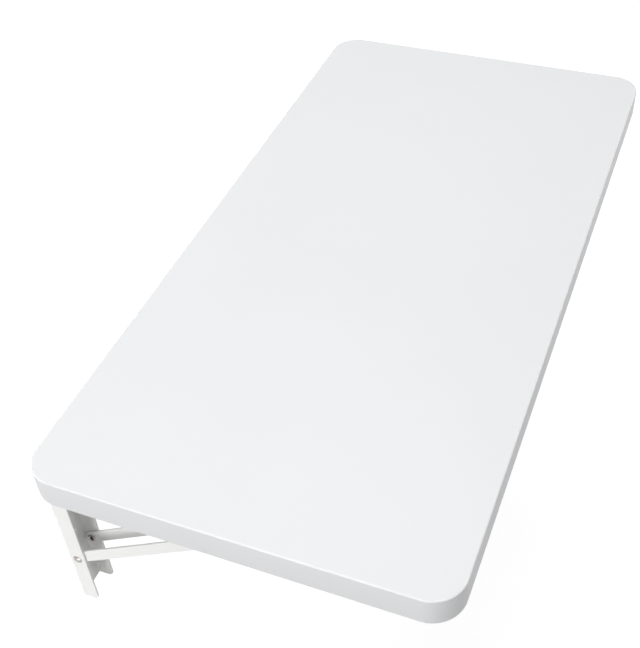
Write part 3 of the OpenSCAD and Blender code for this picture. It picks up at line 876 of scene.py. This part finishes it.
def board_tree():
    """Sweeps the piece's edge profile round a round-cornered rectangle and closes both faces."""
    tree, source, output = geometry_tree("wrapped board", [
        ("Length", "Float"), ("Depth", "Float"), ("Corner Radius", "Float"),
        ("Corner Steps", "Int"), ("Top", "Float"), ("Bottom", "Float"), ("Inset", "Float"),
        ("Material", "Material"), ("Backing", "Material"),
    ])
    link = tree.links.new

    def outline(inset):
        """The round-cornered rectangle, drawn in from the swept one by an inset."""
        rectangle = tree.nodes.new("GeometryNodeCurvePrimitiveQuadrilateral")
        for label, socket in (("Length", "Width"), ("Depth", "Height")):
            less = math_node(tree, "MULTIPLY_ADD", inset, -2.0, source.outputs[label])
            link(less, rectangle.inputs[socket])
        rounded = tree.nodes.new("GeometryNodeFilletCurve")
        rounded.mode = "POLY"
        radius = math_node(tree, "SUBTRACT", source.outputs["Corner Radius"], inset)
        link(rectangle.outputs["Curve"], rounded.inputs["Curve"])
        link(radius, rounded.inputs["Radius"])
        link(source.outputs["Corner Steps"], rounded.inputs["Count"])
        return rounded.outputs["Curve"]

    def painted(geometry, material):
        paint = tree.nodes.new("GeometryNodeSetMaterial")
        link(geometry, paint.inputs["Geometry"])
        link(source.outputs[material], paint.inputs["Material"])
        return paint.outputs["Geometry"]

    def face(inset, height, material, down=False):
        """A flat face that fills an outline at a height and looks up or down."""
        fill = tree.nodes.new("GeometryNodeFillCurve")
        fill.mode = "NGONS"
        link(outline(inset), fill.inputs["Curve"])
        filled = fill.outputs["Mesh"]
        if down:
            flip = tree.nodes.new("GeometryNodeFlipFaces")
            link(filled, flip.inputs["Mesh"])
            filled = flip.outputs["Mesh"]
        shift = tree.nodes.new("ShaderNodeCombineXYZ")
        move = tree.nodes.new("GeometryNodeTransform")
        link(source.outputs[height], shift.inputs["Z"])
        link(shift.outputs[0], move.inputs["Translation"])
        link(filled, move.inputs["Geometry"])
        return painted(move.outputs["Geometry"], material)

    profile = tree.nodes.new("GeometryNodeMeshToCurve")
    band = tree.nodes.new("GeometryNodeCurveToMesh")
    soft = tree.nodes.new("GeometryNodeSetShadeSmooth")
    joined = tree.nodes.new("GeometryNodeJoinGeometry")
    weld = tree.nodes.new("GeometryNodeMergeByDistance")
    weld.inputs["Distance"].default_value = WELD
    real = tree.nodes.new("GeometryNodeRealizeInstances")
    link(source.outputs["Geometry"], profile.inputs["Mesh"])
    link(outline(0.0), band.inputs["Curve"])
    link(profile.outputs["Curve"], band.inputs["Profile Curve"])
    link(band.outputs["Mesh"], soft.inputs["Geometry"])
    for part in (
        painted(soft.outputs["Geometry"], "Material"),
        face(0.0, "Top", "Material"),
        face(source.outputs["Inset"], "Bottom", "Backing", down=True),
    ):
        link(part, joined.inputs["Geometry"])
    link(joined.outputs["Geometry"], weld.inputs["Geometry"])
    link(weld.outputs["Geometry"], real.inputs["Geometry"])
    link(real.outputs["Geometry"], output.inputs["Geometry"])
    return tree


def edge_profile():
    """Section of the board's edge from the top face round to the seam: (outwards, down) pairs."""
    half = TOP_THICK / 2
    points = []
    for first, middle in ((90, TOP_EDGE_R - half), (0, half - TOP_EDGE_R)):
        for step in range(EDGE_STEPS + 1):
            angle = math.radians(first - 90 * step / EDGE_STEPS)
            points.append((TOP_EDGE_R * math.cos(angle), middle - TOP_EDGE_R * math.sin(angle)))
    seam = TOP_EDGE_R - SEAM_IN
    points += [(seam, half), (seam, half - SEAM_DEPTH)]
    return points + [(seam - SEAM_W, half - SEAM_DEPTH), (seam - SEAM_W, half)]


matt_foil = foil("matt white foil")
plain_backing = backing("white backing sheet")
board = path_piece("wrapped_tabletop", [(out, down, 0) for out, down in edge_profile()])
grow(board, board_tree(), {
    "Length": TOP_LEN - 2 * TOP_EDGE_R,
    "Depth": TOP_DEPTH - 2 * TOP_EDGE_R,
    "Corner Radius": TOP_CORNER_R - TOP_EDGE_R,
    "Corner Steps": CORNER_STEPS,
    "Top": TOP_THICK / 2,
    "Bottom": -TOP_THICK / 2,
    "Inset": SEAM_IN - TOP_EDGE_R + SEAM_W,
    "Material": matt_foil,
    "Backing": plain_backing,
})
board_middle = Vector((0, -TOP_WALL_GAP - TOP_DEPTH / 2, UNDER_Z + TOP_THICK / 2))
board.data.transform(Matrix.Translation(board_middle))
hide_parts("tabletop")
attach(board, "table_top")


# Floor and light: a plain pale floor 750 mm under the table's top and soft studio light from above
# and from the near end. Camera, mirror and glass rays see white, and the floor keeps the shadow.
# From below the floor is clear, so that the table's underside can be looked at.
TABLE_HEIGHT = 750 * MM
FLOOR_HALF = 6.0
FLOOR_GREY = (0.30, 0.30, 0.30)
FLOOR_ROUGH = 0.9
NEAR_FLOOR = 0.9
FAR_FLOOR = 2.6
NEAR_LIFT = 0.80
FAR_LIFT = 1.0
AMBIENT = 0.34


def seen_directly(tree):
    """1 for rays from the camera, and for rays that a mirror or glass sends on."""
    rays = tree.nodes.new("ShaderNodeLightPath")
    first = math_node(tree, "MAXIMUM", rays.outputs["Is Camera Ray"], rays.outputs["Is Glossy Ray"])
    return math_node(tree, "MAXIMUM", first, rays.outputs["Is Transmission Ray"])


floor_paint, tree, shader = shader_of("pale floor")
shader.inputs["Base Color"].default_value = (*FLOOR_GREY, 1)
shader.inputs["Roughness"].default_value = FLOOR_ROUGH
shader.inputs["Specular IOR Level"].default_value = 0.0
shader.inputs["Emission Color"].default_value = (1, 1, 1, 1)
away = tree.nodes.new("ShaderNodeVectorMath")
away.operation = "LENGTH"
tree.links.new(object_place(tree), away.inputs[0])
fade = range_of(tree, away.outputs["Value"], NEAR_LIFT, FAR_LIFT, start=NEAR_FLOOR, end=FAR_FLOOR)
lift = math_node(tree, "MULTIPLY", seen_directly(tree), fade)
tree.links.new(lift, shader.inputs["Emission Strength"])
from_below = tree.nodes.new("ShaderNodeNewGeometry").outputs["Backfacing"]
clear = tree.nodes.new("ShaderNodeBsdfTransparent").outputs["BSDF"]
clear_below = tree.nodes.new("ShaderNodeMixShader")
for socket, value in zip(clear_below.inputs, (from_below, shader.outputs["BSDF"], clear)):
    tree.links.new(value, socket)
tree.links.new(clear_below.outputs["Shader"], tree.nodes["Material Output"].inputs["Surface"])

floor_z = UNDER_Z + TOP_THICK - TABLE_HEIGHT
corners = [(-FLOOR_HALF, -FLOOR_HALF), (FLOOR_HALF, -FLOOR_HALF)]
corners += [(FLOOR_HALF, FLOOR_HALF), (-FLOOR_HALF, FLOOR_HALF)]
floor_mesh = bpy.data.meshes.new("floor")
floor_mesh.from_pydata([(x, y, floor_z) for x, y in corners], [], [(0, 1, 2, 3)])
floor = add_piece("floor", floor_mesh, floor_paint)

world = bpy.data.worlds.new("studio")
bpy.context.scene.world = world
world.use_nodes = True
tree = world.node_tree
background = tree.nodes["Background"]
background.inputs["Color"].default_value = (1, 1, 1, 1)
strength = range_of(tree, seen_directly(tree), AMBIENT, 1.0)
tree.links.new(strength, background.inputs["Strength"])


def soft_box(name, at, aim, width, height, watts, lights=True, glints=False):
    """A large rectangular studio lamp. It lights the surfaces, or shows in glossy ones, or both."""
    lamp = bpy.data.objects.new(name, bpy.data.lights.new(name, "AREA"))
    bpy.context.scene.collection.objects.link(lamp)
    lamp.data.shape = "RECTANGLE"
    lamp.data.size, lamp.data.size_y = width, height
    lamp.data.energy = watts
    lamp.visible_diffuse = lights
    lamp.visible_glossy = glints
    lamp.location = at
    lamp.rotation_mode = "QUATERNION"
    lamp.rotation_quaternion = (Vector(aim) - Vector(at)).to_track_quat("-Z", "Y")


soft_box("overhead", (-0.15, 0.1, 2.6), (-0.1, -0.15, 0.1), 2.4, 1.8, 46, glints=True)
soft_box("near_end", (-2.4, 0.2, 0.5), (-0.4, -0.2, 0.05), 1.5, 1.2, 27)
soft_box("front", (1.6, -2.6, 0.6), (0, -0.2, 0), 2.0, 1.2, 21)
soft_box(
    "rivet_glint", (-2.4, -0.25, -0.3), (-0.4, -0.05, 0), 1.0, 0.5, 8, lights=False, glints=True
)
soft_box("behind", (0.9, 2.6, 0.9), (0, 0, 0), 1.6, 1.2, 14)
